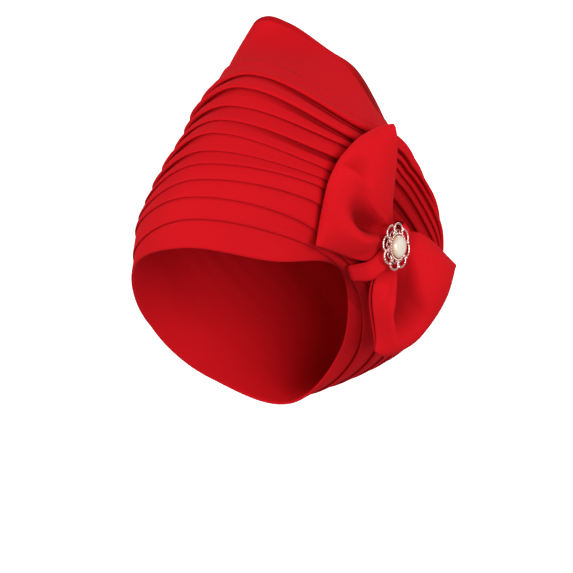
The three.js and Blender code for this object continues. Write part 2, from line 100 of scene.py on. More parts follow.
# Section of a pleat: place along it, level over its fold line, share of the fold's roll that it stands out
PLEAT = np.array([
    [0, 0.12, -0.1],
    [0.12, 0.03, 0.05],
    [0.2, -0.045, 0.32],
    [0.27, -0.062, 0.62],
    [0.34, -0.03, 0.9],
    [0.42, 0.05, 1.02],
    [0.55, 0.22, 0.88],
    [0.75, 0.55, 0.5],
    [0.9, 0.85, 0.16],
    [1, 1.12, -0.1],
])
# Top edge of the last band, which stands in front of the hood: level over the hood's base where it stands
# free, the same where it melts into the hood, and the share of its roll
LEDGE = np.array([
    [-0.3, -0.3, 0.5],
    [-0.18, -0.2, 0.75],
    [-0.08, -0.12, 0.94],
    [-0.01, -0.07, 1],
    [0.035, -0.03, 0.9],
    [0.05, 0, 0.6],
    [0.04, 0.025, 0.25],
    [0, 0.05, -0.15],
    [-0.03, 0.07, -0.4],
    [0.01, 0.09, -0.5],
    [0.07, 0.11, -0.4],
])
LEDGE_FREE = 1.3
# Small dart above the last band: where it stands, half its width and its height
DART_ANGLE, DART_WIDTH, DART_RISE = np.radians(-10), np.radians(2.6), 0.9
# Ridge of the hood: place along it from the foot at the wearer's right to the foot at the left, x, y, z
CREST = np.array([
    [0, -23, 27, 129],
    [0.1, -13, 22, 147.4],
    [0.19, 1, 17, 164],
    [0.23, 8.9, 16, 166],
    [0.32, 25.8, 20, 160.5],
    [0.48, 53.5, 30, 140.3],
    [0.58, 66, 40, 130.2],
    [0.67, 73.8, 46, 116.6],
    [0.79, 82.6, 50, 98.6],
    [0.88, 91, 54, 85.5],
    [1, 93, 58, 70],
])
BOW_AZIMUTH = np.radians(70)
BOW_CENTRE = np.array([112, 18, -2])
BOW_RIGHT = np.array([np.cos(BOW_AZIMUTH), np.sin(BOW_AZIMUTH), 0])
BOW_UP = np.array([0, 0, 1])
BOW_FACING = np.array([np.sin(BOW_AZIMUTH), -np.cos(BOW_AZIMUTH), 0])
# Bowl behind the bow: its depth, how fast it opens, how soft its edge is, and the rise where its painted
# shade ends.
# Cloth that lies farther back than BOW_SIDE, across the head, has none of that painted shade.
PRESS_DEPTH, PRESS_OPENING, PRESS_SOFT, BOW_PAINTED_SHADE = 17.3, 0.0025, 8, 9
BOW_SIDE = -40
# Hollow under a folded edge, in levels: how far below the edge it starts, and its span
DIP_BELOW, DIP_SPAN = 0.52, 0.64


def through(rows, at):
    """Cubic through a table's rows, whose first column is the place: each row's slope is the mean of the
    two chords beside it, weighted by their lengths, and between rows runs a Hermite cubic."""
    xs, ys = rows[:, 0], rows[:, 1:]
    slope = np.gradient(ys, xs, axis=0)
    i = np.clip(np.searchsorted(xs, at, "right") - 1, 0, len(xs) - 2)
    step = (xs[i + 1] - xs[i])[..., None]
    t = np.clip((at - xs[i])[..., None] / step, 0, 1)
    rise = t * t * (3 - 2 * t)
    bend = t * (1 - t) ** 2 * slope[i] + t * t * (t - 1) * slope[i + 1]
    return ys[i] * (1 - rise) + ys[i + 1] * rise + step * bend


def round_head(values, angle):
    """Closed Catmull-Rom curve through values that stand at even angles, from the front by the left."""
    count = values.shape[-1]
    turn = np.mod(angle / (2 * np.pi) * count, count)
    i = np.floor(turn).astype(int)
    t = turn - i
    a, b, c, d = (np.take_along_axis(values, ((i + k) % count)[..., None], -1)[..., 0] for k in (-1, 0, 1, 2))
    return b + t / 2 * (c - a + t * (2 * a - 5 * b + 4 * c - d + t * (3 * (b - c) + d - a)))


def crown_form(angle, level):
    """Crown without its pleats. Up to the hood each level is a loop of four quarter ellipses at the height
    of its fold line. The hood blends from the top loop to the ridge, along a quarter ellipse at the back.
    Behind the bow the form is pressed into a bowl: the softened lesser of its own height and the bowl's."""
    fold = np.minimum(level, HOOD_BASE)
    mid_x, mid_y, right, left, front, back = np.moveaxis(through(PLAN, fold), -1, 0)
    side, ahead = np.sin(angle), np.cos(angle)
    x = mid_x + side * np.where(side > 0, left, right)
    y = mid_y - ahead * np.where(ahead > 0, front, back)
    point = np.stack([x, y, round_head(through(HEIGHTS, fold), angle)], -1)
    up = np.clip(level - HOOD_BASE, 0, 1)
    back_bulge = np.abs(ahead) ** np.where(side > 0, 2, 1)
    bulge = np.where(ahead < -1e-9, back_bulge, FRONT_BULGE * ahead**2)
    inward = up + bulge * (1 - np.cos(up * np.pi / 2) - up)
    upward = up + bulge * (np.sin(up * np.pi / 2) - up)
    ridge = through(CREST, np.arctan2(side, np.abs(ahead)) / np.pi + 0.5)
    point = point + (ridge - point) * np.stack([inward, inward, upward], -1)
    off = point - BOW_CENTRE
    proud = off @ BOW_FACING
    limit = PRESS_OPENING * ((off**2).sum(-1) - proud**2) - PRESS_DEPTH
    pressed = (proud + limit - np.hypot(proud - limit, PRESS_SOFT)) / 2
    return point + (pressed - proud)[..., None] * BOW_FACING


def unit(vectors):
    return vectors / np.linalg.norm(vectors, axis=-1, keepdims=True)


def crown_facing(angle, level):
    """Outward direction of the crown: the cross product of its slopes round the head and upwards."""
    level = np.minimum(level, HOOD_BASE + 0.97)
    along = crown_form(angle + 1e-3, level) - crown_form(angle - 1e-3, level)
    upwards = crown_form(angle, level + 4e-3) - crown_form(angle, np.maximum(level - 4e-3, 0))
    return unit(np.cross(along, upwards))


def dip_of(angle, level):
    """Depth of the hollow under each folded edge: a smooth swell that is deepest just below the edge."""
    depth = np.zeros(np.broadcast(angle, level).shape)
    for row in GAPES:
        share = np.clip((level - row[0] + DIP_BELOW) / DIP_SPAN, 0, 1)
        depth += round_head(np.broadcast_to(row[1:], depth.shape + (8,)), angle) * np.sin(np.pi * share) ** 2
    return depth


def cloth_mesh(name, points, faces, uv, painted_fold_shade):
    """Mesh object from points in millimetres, with cloth lengths in metres as its UV map and the painted
    shade in the folds, from 0 to 1, as a point attribute."""
    mesh = bpy.data.meshes.new(name)
    mesh.from_pydata((points * MM).tolist(), [], faces)
    mesh.polygons.foreach_set("use_smooth", np.ones(len(faces), bool))
    corner = np.zeros(len(mesh.loops), np.int32)
    mesh.loops.foreach_get("vertex_index", corner)
    mesh.uv_layers.new(name="cloth").data.foreach_set("uv", uv[corner].astype(np.float32).ravel())
    attribute = mesh.attributes.new("painted_fold_shade", "FLOAT", "POINT")
    attribute.data.foreach_set("value", painted_fold_shade.astype(np.float32))
    mesh.validate()
    made = bpy.data.objects.new(name, mesh)
    bpy.context.scene.collection.objects.link(made)
    return made


def grid_faces(index):
    """Faces between neighbouring entries of a grid of vertex numbers: quads, triangles where two corners are
    one vertex, and none where the quad shrinks to a line."""
    quads = np.stack([index[:-1, :-1], index[:-1, 1:], index[1:, 1:], index[1:, :-1]], -1).reshape(-1, 4)
    quads = quads[(quads[:, 0] != quads[:, 2]) & (quads[:, 1] != quads[:, 3])]
    doubled = quads == np.roll(quads, -1, 1)
    pinched = doubled.any(1)
    return quads[~pinched].tolist() + quads[pinched][~doubled[pinched]].reshape(-1, 3).tolist()


# Rows of the outer wall: the brim, ten pleats, the last band's top edge and the hood
section = through(PLEAT, np.linspace(0, 1, PLEAT_ROWS, endpoint=False))
brim_level = np.linspace(0, 1.1, BRIM_ROWS)
row_level = [brim_level]
row_fold = [np.full(BRIM_ROWS, 1)]
row_out = [-0.1 * np.clip((brim_level - 0.9) / 0.2, 0, 1)]
for fold in range(1, HOOD_BASE):
    last = PLEAT_ROWS if fold < HOOD_BASE - 1 else LAST_PLEAT_ROWS
    row_level.append(fold + section[:last, 0])
    row_fold.append(np.full(last, fold))
    row_out.append(section[:last, 1])
hood_up = np.concatenate([[0.14], np.linspace(0.18, 0.96, 24), [0.985, 1]])
row_level += [HOOD_BASE + LEDGE[:, 1], HOOD_BASE + hood_up]
row_fold += [np.full(len(LEDGE), HOOD_BASE), np.full(len(hood_up), HOOD_BASE)]
row_out += [LEDGE[:, 2], -0.4 * np.clip(1 - hood_up * 2.5, 0, 1)]
level, fold, out = (np.concatenate(rows)[:, None] for rows in (row_level, row_fold, row_out))
angle = (-np.pi + 2 * np.pi * np.arange(COLUMNS) / COLUMNS)[None, :]
level_grid, angle_grid = (np.array(grid) for grid in np.broadcast_arrays(level, angle))
roll = round_head(np.broadcast_to(ROLLS[fold - 1, 1:], level_grid.shape + (8,)), angle_grid)
ledge_rows = slice(len(level) - len(hood_up) - len(LEDGE), len(level) - len(hood_up))
standing = np.clip(roll[ledge_rows] / LEDGE_FREE, 0, 1)
level_grid[ledge_rows] += standing * (LEDGE[:, :1] - LEDGE[:, 1:2])
dip = dip_of(angle_grid, level_grid)
sunk = dip * np.clip(1 - 1.3 * np.abs(out) * (out > 0.2), 0, 1)
dart_side = (angle_grid - DART_ANGLE) / DART_WIDTH
over_base = level_grid - HOOD_BASE
dart_length = np.clip(over_base / 0.08, 0, 1) * np.clip(1.6 - over_base / 0.22, 0, 1)
dart = DART_RISE * dart_side * np.exp(-(dart_side**2)) * dart_length
outer = crown_form(angle_grid, level_grid)
outer += (out * roll - sunk + dart)[..., None] * crown_facing(angle_grid, level_grid)

# Rows of the inner wall, one cloth behind the deepest part of the folds, closed below by the turned hem
inner_level = np.concatenate([np.linspace(0, HOOD_BASE, 45), HOOD_BASE + np.linspace(0.1, 1, 12)])[:, None]
inner_level, inner_angle = np.broadcast_arrays(inner_level, angle)
behind = CLOTH + dip_of(inner_angle, inner_level)
inner_facing = crown_facing(inner_angle, inner_level)
mirrored = crown_facing(np.pi - inner_angle[-1:], inner_level[-1:])
sum_facing = inner_facing[-1:] + mirrored
spread = np.maximum(1 + (inner_facing[-1:] * mirrored).sum(-1, keepdims=True), 0.4)
inner = crown_form(inner_angle, inner_level) - behind[..., None] * inner_facing
inner[-1:] = crown_form(inner_angle[-1:], inner_level[-1:]) - CLOTH * sum_facing / spread
hem_turn = np.array([0.25, 0.5, 0.75])[:, None, None] * np.pi
down = unit(outer[:1] - outer[1:2])
hem_middle, hem_half = (outer[:1] + inner[:1]) / 2, (outer[:1] - inner[:1]) / 2
hem = hem_middle + hem_half * np.cos(hem_turn) + down * CLOTH / 2 * np.sin(hem_turn)
wall = np.concatenate([outer[::-1], hem, inner])
rows = len(wall)
mate = np.arange(COLUMNS)
half = COLUMNS // 2
mate = np.where(mate < half // 2, half - mate, np.where(mate > half * 3 // 2, half + COLUMNS - mate, mate))
index = np.arange(rows * COLUMNS).reshape(rows, COLUMNS)
index[0], index[-1] = index[0][mate], index[-1][mate]
index = np.concatenate([index, index[:, :1]], 1)
run = np.concatenate([np.zeros((1, COLUMNS)), np.linalg.norm(np.diff(wall, axis=0), axis=-1).cumsum(0)])
crown_uv = np.stack([np.broadcast_to(angle * MEAN_RADIUS, run.shape), run], -1).reshape(-1, 2) * MM

# Painted shade in the folds: under each folded edge, in the hollow below it, and in the bowl behind the bow
painted_shade_rows = np.clip(1.2 - out * 2.2, 0, 1) * (np.abs(level - np.round(level)) < 0.1) * (level > 0.8)
painted_shade_rows = painted_shade_rows * np.clip(roll / 2, 0, 1) + np.clip(dip / 4, 0, 1) * (out < 0.5) * 0.8
off_bow = outer - BOW_CENTRE
before_bow = off_bow @ BOW_FACING
beside_bow = (off_bow**2).sum(-1) - before_bow**2
near_side = before_bow > BOW_SIDE
painted_shade_rows = painted_shade_rows + np.clip(1 - beside_bow * PRESS_OPENING / BOW_PAINTED_SHADE, 0, 1) * near_side
crown_painted_shade = np.concatenate([np.clip(painted_shade_rows, 0, 1)[::-1], np.zeros((rows - len(outer), COLUMNS))])
used = np.isin(np.arange(rows * COLUMNS), index)
crown_faces = grid_faces((np.cumsum(used) - 1)[index])
pleated_crown = cloth_mesh("pleated_crown_cloth", wall.reshape(-1, 3)[used], crown_faces, crown_uv[used],
                           crown_painted_shade.ravel()[used])


class Thread:
    """A socket of a material. Arithmetic on it adds Math nodes, and node() adds a node of any other kind:
    its type, its settings, the values or links of its inputs by name or number, and the output wanted."""

    def __init__(self, tree, socket=None):
        self.tree, self.socket = tree, socket

    def node(self, kind, settings=None, inputs=None, output=0):
        made = self.tree.nodes.new(kind)
        for name, value in (settings or {}).items():
            setattr(made, name, value)
        for name, value in (inputs or {}).items():
            if isinstance(value, Thread):
                self.tree.links.new(value.socket, made.inputs[name])
            else:
                made.inputs[name].default_value = value
        return Thread(self.tree, made.outputs[output] if len(made.outputs) else None)

    def math(self, operation, first, second=0.0):
        return self.node("ShaderNodeMath", {"operation": operation}, {0: first, 1: second})

    def __add__(self, other):
        return self.math("ADD", self, other)

    def __radd__(self, other):
        return self.math("ADD", other, self)

    def __sub__(self, other):
        return self.math("SUBTRACT", self, other)

    def __mul__(self, other):
        return self.math("MULTIPLY", self, other)

    def __rmul__(self, other):
        return self.math("MULTIPLY", other, self)


def new_material(name):
    """Empty material: the material, and a Thread that starts its nodes."""
    material = bpy.data.materials.new(name)
    material.use_nodes = True
    material.node_tree.nodes.clear()
    return material, Thread(material.node_tree)


# Width and height of one stitch of the knit, in metres
WALE, COURSE = 0.0011, 0.0009


def red_knit(name, lit, shade):
    """Matte scuba-like double knit. Its colour drifts softly between two reds and carries painted shade in
    the folds, and its bump is the fine grid of stitches, the product of two sines along the cloth, with a
    soft nap."""
    material, start = new_material(name)
    uv = start.node("ShaderNodeTexCoord", output="UV")
    place = start.node("ShaderNodeTexCoord", output="Object")
    across = start.node("ShaderNodeSeparateXYZ", inputs={0: uv})
    along = Thread(across.tree, across.socket.node.outputs[1])
    wale = start.math("SINE", across * (2 * np.pi / WALE))
    course = start.math("SINE", along * (2 * np.pi / COURSE))
    stitch = wale * course * 0.5 + 0.5
    nap = start.node("ShaderNodeTexNoise", inputs={"Vector": place, "Scale": 900.0, "Detail": 2.0})
    drift = start.node("ShaderNodeTexNoise", inputs={"Vector": place, "Scale": 14.0, "Detail": 3.0})
    crumple = start.node("ShaderNodeTexNoise", inputs={"Vector": place, "Scale": 45.0, "Detail": 2.0})
    # Painted shade: how far each point of the cloth is darkened for lying deep in a fold
    depth = start.node("ShaderNodeAttribute", {"attribute_name": "painted_fold_shade"}, output="Fac")
    cloth = start.node("ShaderNodeMix", {"data_type": "RGBA"}, {"Factor": drift, 6: lit, 7: shade}, 2)
    flecked = start.node("ShaderNodeMix", {"data_type": "RGBA", "blend_type": "MULTIPLY"},
                         {"Factor": 0.22 * stitch * nap, 6: cloth, 7: (0.55, 0.4, 0.4, 1)}, 2)
    # The painted shade multiplies the colour towards a dark red
    folded = start.node("ShaderNodeMix", {"data_type": "RGBA", "blend_type": "MULTIPLY"},
                        {"Factor": 0.85 * depth, 6: flecked, 7: (0.36, 0.26, 0.26, 1)}, 2)
    fine = start.node("ShaderNodeBump", inputs={"Strength": 0.18, "Distance": 0.0003,
                                                "Height": stitch + 0.6 * nap})
    bump = start.node("ShaderNodeBump", inputs={"Strength": 0.25, "Distance": 0.0012, "Height": crumple,
                                                "Normal": fine})
    shader = start.node("ShaderNodeBsdfPrincipled", inputs={
        "Base Color": folded, "Roughness": 0.72 + 0.1 * nap, "Normal": bump, "Specular IOR Level": 0.03,
        "Sheen Weight": 0.02, "Sheen Roughness": 0.3, "Sheen Tint": (1, 0.3, 0.28, 1)})
    start.node("ShaderNodeOutputMaterial", inputs={"Surface": shader})
    return material


crown_knit = red_knit("crown_red_knit", (0.65, 0.008, 0.014, 1), (0.57, 0.006, 0.011, 1))
pleated_crown.data.materials.append(crown_knit)
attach(pleated_crown, "root")
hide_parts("pleated_crown")

# Upper wing of the bow: a band of the same knit, gathered at the waist and folded over at its outer
# edge, so that two layers lie a finger apart. The front layer swells and creases towards the waist.
# Share of a ray that is gathered at the waist, the waist's depth and half the gap between the layers
WAIST, WAIST_DEPTH, WING_HALF_GAP = 0.14, -7.5, 3.6
# Shares of the free length where the creases stop sweeping sideways, and where their outer part starts
CREASE_TURN, OUTER_FROM = 0.57, 0.6
# Scales that bring the greatest swell and the greatest sideways bow to about one
SWELL_SCALE, BEND_SCALE = 2.56, 6.75
# The band that the bow is made of, in metres
BAND_WIDTH, BAND_LENGTH = 0.11, 0.17
# across the wing, then the outward end x, y, z of the ray and the swell of the front layer
UPPER_RAYS = np.array([
    [0, -79.6, 1.7, -2.8, 0.5],
    [0.14, -78.9, 15.9, -0.5, 10],
    [0.28, -78.5, 33.7, 4, 12],
    [0.43, -76.6, 49.3, 8, 11.5],
    [0.55, -69.5, 61.9, 10, 11],
    [0.65, -62.4, 69.7, 12, 11],
    [0.72, -55.6, 75.3, 13, 11],
    [0.82, -47.5, 80.3, 15, 10.5],
    [0.9, -37, 84.7, 17, 8.5],
    [1, -26, 86.9, 20, 4],
])
# across the wing, then how far the front layer rises in its creases, on their inner and outer part
UPPER_CREASES = np.array([
    [0, 0, 0],
    [0.1, 3, 0],
    [0.165, 4, 0],
    [0.21, 0, 0],
    [0.26, -8, 0],
    [0.32, -12, 0],
    [0.4, -10.5, 0.5],
    [0.46, -7, 2],
    [0.5, -1, 3.5],
    [0.52, 2.5, 3],
    [0.54, 0.5, -3],
    [0.57, 0, -4],
    [0.62, 0.5, -3],
    [0.7, 1, -1],
    [0.8, 0, 0],
    [1, 0, 0],
])


def wing_creases(creases, sweep, across, free):
    """Rise of a wing's front layer in its creases, which sweep sideways near the waist: the inner rise is
    strongest at two fifths of the free length, the outer rise swells and falls again beyond it."""
    rise = through(creases, across - sweep * np.maximum(0, CREASE_TURN - free) ** 2)
    inner = 3 * free**0.75 * (1 - free**2) ** 2.5
    outer = np.sin(np.pi * np.clip((free - OUTER_FROM) / (1 - OUTER_FROM), 0, 1) ** 1.5)
    return rise[..., 0] * inner + rise[..., 1] * outer


def wing_form(rays, creases, root_from, root_to, bend_from, bend_to, sweep):
    """Middle surface of a wing in the bow's frame, and its painted shade in the folds. A ray runs from the
    waist to the outer fold and back, its reach easing in as 1 - (1 - t) squared, and bows sideways. The front
    layer stands off by its lip, its swell, which is widest past half way, and its creases."""
    def free_of(along):
        t = np.minimum(2 * along, 2 - 2 * along)
        return np.maximum(0, (1 - (1 - t) ** 2 - WAIST) / (1 - WAIST))

    def surface(across, along):
        out_x, out_y, out_z, puff = np.moveaxis(through(rays, across), -1, 0)
        root_x = root_from[0] + (root_to[0] - root_from[0]) * across
        root_y = root_from[1] + (root_to[1] - root_from[1]) * across
        t = np.minimum(2 * along, 2 - 2 * along)
        reach = 1 - (1 - t) ** 2
        dx, dy = out_x - root_x, out_y - root_y
        bend_here = bend_from + (bend_to - bend_from) * across
        bend = bend_here * BEND_SCALE * reach * (1 - reach) ** 2 / np.hypot(dx, dy)
        free = free_of(along)
        broad = SWELL_SCALE * free * np.sqrt(1 - free)
        gape = 0.4 + 0.6 * np.sqrt(np.sin(np.pi * np.clip(across, 0, 1)))
        lip = WING_HALF_GAP * gape * (1 - t) * np.sqrt(1 + reach)
        middle = WAIST_DEPTH + (out_z - WAIST_DEPTH) * free
        front = lip + puff * broad + wing_creases(creases, sweep, across, free)
        off = np.where(along <= 0.5, front, -lip - 0.5 * broad)
        return np.stack([root_x + dx * reach + bend * dy, root_y + dy * reach - bend * dx, middle + off], -1)

    def painted_fold_shade(across, along):
        # Painted shade: the front layer darkens in its sunken creases and near the waist, the back layer is
        # painted evenly darker
        free = free_of(along)
        sunk = -wing_creases(creases, sweep, across, free)
        return np.where(along <= 0.5, np.clip((sunk - 1) / 8, 0, 1) + np.clip(1 - free * 8, 0, 1) * 0.5, 0.3)
    return surface, painted_fold_shade


def bow_cloth(name, surface, across, along, painted_fold_shade):
    """Closed strip of cloth round a middle surface: a flat oval section, half a cloth to either side and
    rounded at both hems, carried along the strip and capped at its two ends."""
    n = len(across)
    turn = np.radians([45, 90, 135])
    u = np.concatenate([across, np.full(3, across[-1]), across[::-1], np.full(3, across[0])])
    face = np.concatenate([np.ones(n), np.cos(turn), -np.ones(n), -np.cos(turn)])
    hem = np.concatenate([np.zeros(n), np.sin(turn), np.zeros(n), -np.sin(turn)])
    v, u = np.meshgrid(along, u, indexing="ij")
    slope_u = surface(np.clip(u + 1e-3, 0, 1), v) - surface(np.clip(u - 1e-3, 0, 1), v)
    slope_v = surface(u, np.clip(v + 1e-3, 0, 1)) - surface(u, np.clip(v - 1e-3, 0, 1))
    offset = face[:, None] * unit(np.cross(slope_u, slope_v)) + hem[:, None] * unit(slope_u)
    local = surface(u, v) + CLOTH / 2 * offset
    points = BOW_CENTRE + local @ np.stack([BOW_RIGHT, BOW_UP, BOW_FACING])
    index = np.arange(points[..., 0].size).reshape(points.shape[:2])
    ring = len(face)
    faces = grid_faces(np.concatenate([index, index[:, :1]], 1))
    left = np.concatenate([[ring - 2, ring - 1], np.arange(n + 2)])
    right = np.concatenate([[ring - 2, ring - 3], np.arange(2 * n + 2, n, -1)])
    faces += grid_faces(np.stack([index[0][right], index[0][left]]))
    faces += grid_faces(np.stack([index[-1][left], index[-1][right]]))
    uv = np.stack([u * BAND_WIDTH, v * BAND_LENGTH], -1).reshape(-1, 2)
    shade = np.broadcast_to(painted_fold_shade(u, v), u.shape)
    return cloth_mesh(name, points.reshape(-1, 3), faces, uv, shade.ravel())


wing_across = np.linspace(0, 1, 121)
wing_along = np.concatenate([
    np.linspace(0, 0.44, 64),
    np.linspace(0.446, 0.554, 25),
    np.linspace(0.57, 1, 40),
])
upper_form, upper_painted_shade = wing_form(UPPER_RAYS, UPPER_CREASES, root_from=(-8.6, -9.2), root_to=(9, 8.8),
                                   bend_from=-4, bend_to=-4.5, sweep=0.9)
upper_wing = bow_cloth("bow_upper_wing_cloth", upper_form, wing_across, wing_along, upper_painted_shade)
# Painted light: the bow's knit is the crown's knit painted about a tenth lighter
bow_knit_painted_lighter = red_knit("bow_red_knit_painted_lighter", (0.71, 0.009, 0.016, 1), (0.63, 0.007, 0.012, 1))
upper_wing.data.materials.append(bow_knit_painted_lighter)
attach(upper_wing, "root")
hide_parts("bow_upper_wing")

# Lower wing of the bow: the band's other loop, which falls down and back from the waist. A deep crease
# runs down beside its front lobe and turns back along the outer fold.
LOWER_RAYS = np.array([
    [0, 0.1, -78.8, -20, 0.5],
    [0.08, 7.7, -82.1, -19, 10],
    [0.2, 21.8, -79, -17, 10],
    [0.34, 35.6, -71.8, -14, 9],
    [0.46, 45.9, -59.8, -11, 11],
    [0.62, 56.4, -44, -9, 13],
    [0.8, 64, -27.4, -7, 11],
    [1, 72.3, -18.1, -7, 3],
])
LOWER_CREASES = np.array([
    [0, 0, 0],
    [0.04, 4, 0],
    [0.075, 3, 0],
    [0.11, -5, 0],
    [0.16, -9, 0],
    [0.25, -10.2, 0],
    [0.34, -9.4, 0],
    [0.4, -7, 0],
    [0.44, 0, 0],
    [0.5, 2.5, 0],
    [0.72, 2, 0],
    [1, 0, 0],
])
lower_form, lower_painted_shade = wing_form(LOWER_RAYS, LOWER_CREASES, root_from=(-7.5, -11.3), root_to=(10.4, 7.4),
                                   bend_from=10, bend_to=-7, sweep=1)
lower_wing = bow_cloth("bow_lower_wing_cloth", lower_form, wing_across, wing_along, lower_painted_shade)
lower_wing.data.materials.append(bow_knit_painted_lighter)
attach(lower_wing, "root")
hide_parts("bow_lower_wing")

# Strap: a narrow folded band of the knit, sewn to the corner of the brim, drawn over the bow's waist and
# tucked in behind it.
# along the strap, then x, y, z of its middle line and the way x, y, z from there to its lower edge
STRAP = np.array([
    [0, -32.6, -20.4, -16.5, 4.2, -4.9, -1.7],
    [0.13, -29.8, -20, -12.5, 4.2, -5.3, -1.6],
    [0.26, -26.4, -19.4, -7.6, 4, -5.8, -1],
    [0.38, -22.6, -17.9, -3.6, 3.9, -5.7, -0.5],
    [0.48, -16.8, -13.5, -1.2, 3.7, -5.1, 0],
    [0.59, -9.5, -7.6, -1.2, 3.6, -5, 0],
    [0.72, 0, -1.2, -1.2, 4, -4.8, 0],
    [0.84, 11, 9.2, -1.6, 3.4, -3.4, 0],
    [0.93, 14.4, 12.8, -3.8, 2.6, -2.5, 0],
    [1, 15.8, 14.2, -11, 2.2, -2.1, 0],
])


def strap_form(across, along):
    """Middle surface of the strap: its middle line, moved to either edge."""
    middle, to_edge = np.split(through(STRAP, along), 2, -1)
    return middle + (2 * across - 1)[..., None] * to_edge


def strap_painted_shade(across, along):
    """Painted shade: a little along both edges, and full at the end that is sewn to the brim."""
    return 0.4 * np.abs(2 * across - 1) ** 6 + np.clip(1 - along / 0.09, 0, 1)


strap = bow_cloth("knot_strap_cloth", strap_form, np.linspace(0, 1, 25), np.linspace(0, 1, 90), strap_painted_shade)
strap.data.materials.append(bow_knit_painted_lighter)
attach(strap, "root")
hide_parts("knot_strap")

# Setting of the brooch: cast and plated metal, soldered into one flower: a cup with a beaded edge for the
# pearl, and eight open petals of twisted wire with a bead between each two. A pin behind holds it.
BROOCH_PLACE = np.array([-4.2, -1.2, 3.4])
BROOCH_CENTRE = BOW_CENTRE + BROOCH_PLACE @ np.stack([BOW_RIGHT, BOW_UP, BOW_FACING])
BROOCH_TURN = np.radians(9)
PETALS, PETAL_FROM, LOOP_POINTS, CUP_BEADS = 8, np.radians(78), 72, 30
# Twisted wire of the petals: radius, depth and number of its twists, and the plain wire of the small loops
WIRE_RADIUS, TWIST_DEPTH, TWISTS, LOOP_WIRE = 0.82, 0.13, 18, 0.5
# Petals and the small loops inside them: inner end, outer end and half width, and the height of their wire
PETAL, INNER_LOOP, WIRE_HEIGHT = (8.4, 17, 4.9), (9.2, 12.4, 2.2), 0.4
# Beads between the petals, nearer in, and round the cup: distance from the axis, height and radius
OUTER_BEAD, INNER_BEAD, CUP_BEAD = (14.9, 0.8, 1.3), (11.8, 0.9, 1.1), (9.6, 2.2, 0.85)
# Section of the cup: radius, height, and how deep the place lies
CUP = np.array([
    [0, -2.3, 1],
    [5.5, -2.3, 1],
    [5.5, 0, 1],
    [9.4, 0, 1],
    [9.8, 0.4, 1],
    [9.8, 2, 0.5],
    [9.3, 2.5, 0.2],
    [8.9, 2, 0.8],
    [8.9, 1.1, 1],
    [0, 1.1, 1],
])
metal_points, metal_faces, metal_recess = [], [], []


def add_metal(grids, recess, close_along=False):
    """Adds surfaces to the setting: an array of grids (..., along, round, 3) in the brooch's frame, each
    closed round, and also along if it is a ring."""
    grids = np.asarray(grids).reshape(-1, *np.shape(grids)[-3:])
    count, along, around = grids.shape[:3]
    base = sum(len(p) for p in metal_points)
    index = base + np.arange(count * along * around).reshape(count, along, around)
    index = np.concatenate([index, index[:, :, :1]], 2)
    if close_along:
        index = np.concatenate([index, index[:, :1]], 1)
    metal_points.append(grids.reshape(-1, 3))
    metal_recess.append(np.broadcast_to(recess, grids.shape[:3]).ravel())
    for grid in index:
        metal_faces.extend(grid_faces(grid))


def wire(path, radius, sides=8):
    """Round wire along closed flat paths (..., n, 3): a circle across the path in the plane of the brooch's
    axis and the path's own sideways direction."""
    way = unit(np.roll(path, -1, -2) - np.roll(path, 1, -2))
    sideways = np.cross(np.array([0, 0, 1.0]), way)
    turn = np.linspace(0, 2 * np.pi, sides, endpoint=False)[:, None]
    circle = np.cos(turn) * sideways[..., None, :] + np.sin(turn) * np.array([0, 0, 1.0])
    return path[..., None, :] + np.asarray(radius)[..., None, None] * circle


def beads(turn, out, height, radius, sides=10, rings=7):
    """Beads at the given turns round the axis: points at even latitudes and longitudes about each centre."""
    centres = np.stack([out * np.cos(turn), out * np.sin(turn), np.full(len(turn), height)], -1)
    lat = np.linspace(-np.pi / 2, np.pi / 2, rings)[:, None]
    lon = np.linspace(0, 2 * np.pi, sides, endpoint=False)[None, :]
    round_ball = np.stack([np.cos(lat) * np.cos(lon), np.cos(lat) * np.sin(lon), np.sin(lat) + 0 * lon], -1)
    return centres[:, None, None, :] + radius * round_ball


def turned(profile, sides=48):
    """Surface of revolution about the brooch's axis: each radius and height of the profile, turned round."""
    turn = np.linspace(0, 2 * np.pi, sides, endpoint=False)
    radius, height = np.array(profile, float).T
    return np.stack([np.outer(radius, np.cos(turn)), np.outer(radius, np.sin(turn)),
                     np.outer(height, np.ones(sides))], -1)


petal_turn = PETAL_FROM + 2 * np.pi * np.arange(PETALS)[:, None] / PETALS
loop = np.linspace(0, 2 * np.pi, LOOP_POINTS, endpoint=False)


def petals(inner, outer_end, half_width, height):
    """Closed petal outlines: ovals from an inner to an outer radius, one at each petal's turn."""
    radial = (inner + outer_end) / 2 - (outer_end - inner) / 2 * np.cos(loop)
    sideways = half_width * np.sin(loop) * (1 - 0.18 * np.cos(loop))
    x = radial * np.cos(petal_turn) - sideways * np.sin(petal_turn)
    y = radial * np.sin(petal_turn) + sideways * np.cos(petal_turn)
    return np.stack([x, y, np.full_like(x, height)], -1)


